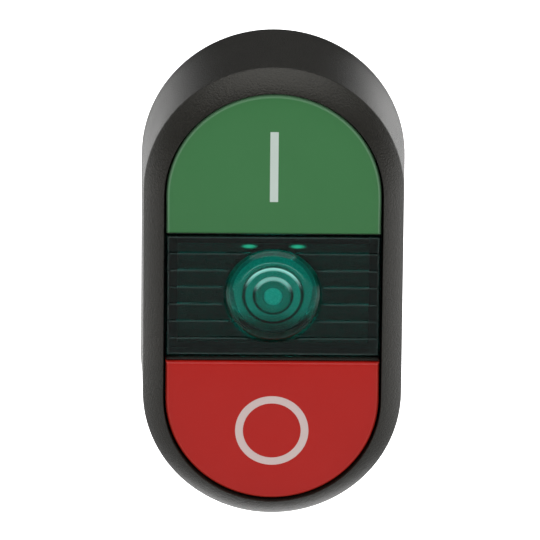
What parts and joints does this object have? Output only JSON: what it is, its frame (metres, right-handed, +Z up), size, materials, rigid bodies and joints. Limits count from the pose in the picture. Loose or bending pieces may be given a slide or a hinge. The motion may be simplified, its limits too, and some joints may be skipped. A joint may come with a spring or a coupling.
{
  "type": "illuminated double pushbutton",
  "caption": "Panel-mount control head with flush green start and red stop buttons either side of an indicator window, on a threaded barrel with a ring nut.",
  "frame": {"origin": "on the barrel's axis, in the plane of the panel's front face", "axes": "+Z up, towards the start button; the buttons face -Y; the barrel runs back along +Y"},
  "size_m": [0.0306, 0.0379, 0.0554],
  "materials": {
    "black_moulding": "spark-eroded texture",
    "green_cap": "satin",
    "red_cap": "satin",
    "white_mark": "satin",
    "natural_acetal": "smooth",
    "spring_steel": "drawn wire",
    "silicone": "matte",
    "green_window": "moulded clear plastic",
    "seal_rubber": "matte",
    "frosted_diffuser": "frosted",
    "clear_guide": "polished",
    "zinc_steel": "zinc plated"
  },
  "bodies": {
    "head": {"bezel": "black_moulding", "barrel": "black_moulding", "window": "green_window", "window_seal": "seal_rubber", "diffuser": "frosted_diffuser", "light_guide": "clear_guide", "guide_o_ring": "seal_rubber", "guide_plate": "natural_acetal", "panel_gasket": "seal_rubber", "start_spring": "spring_steel", "stop_spring": "spring_steel", "start_boot": "silicone", "stop_boot": "silicone"},
    "start_button": {"start_cap": "green_cap", "start_mark": "white_mark", "start_plunger": "natural_acetal", "start_foot": "natural_acetal"},
    "stop_button": {"stop_cap": "red_cap", "stop_mark": "white_mark", "stop_plunger": "natural_acetal", "stop_foot": "natural_acetal"},
    "washer": {"lock_washer": "zinc_steel"},
    "nut": {"ring_nut": "black_moulding"}
  },
  "joints": [
    {"name": "start_press", "type": "slide", "parent": "head", "child": "start_button", "axis": [0, 1, 0], "range_m": [0, 0.004], "stiffness_N_per_m": 800, "springref_m": -0.003, "deforming": ["start_spring", "start_boot"]},
    {"name": "stop_press", "type": "slide", "parent": "head", "child": "stop_button", "axis": [0, 1, 0], "range_m": [0, 0.004], "stiffness_N_per_m": 800, "springref_m": -0.003, "deforming": ["stop_spring", "stop_boot"]},
    {"name": "nut_travel", "type": "slide", "parent": "head", "child": "washer", "axis": [0, 1, 0], "range_m": [-0.002, 0.003]},
    {"name": "nut_spin", "type": "hinge", "parent": "washer", "child": "nut", "pos_m": [0, 0.007, 0], "axis": [0, 1, 0], "range_deg": [-480, 720]}
  ],
  "couplings": [
    {"joint": "nut_travel", "follows": "nut_spin", "m_per_rad": 0.00023873}
  ]
}
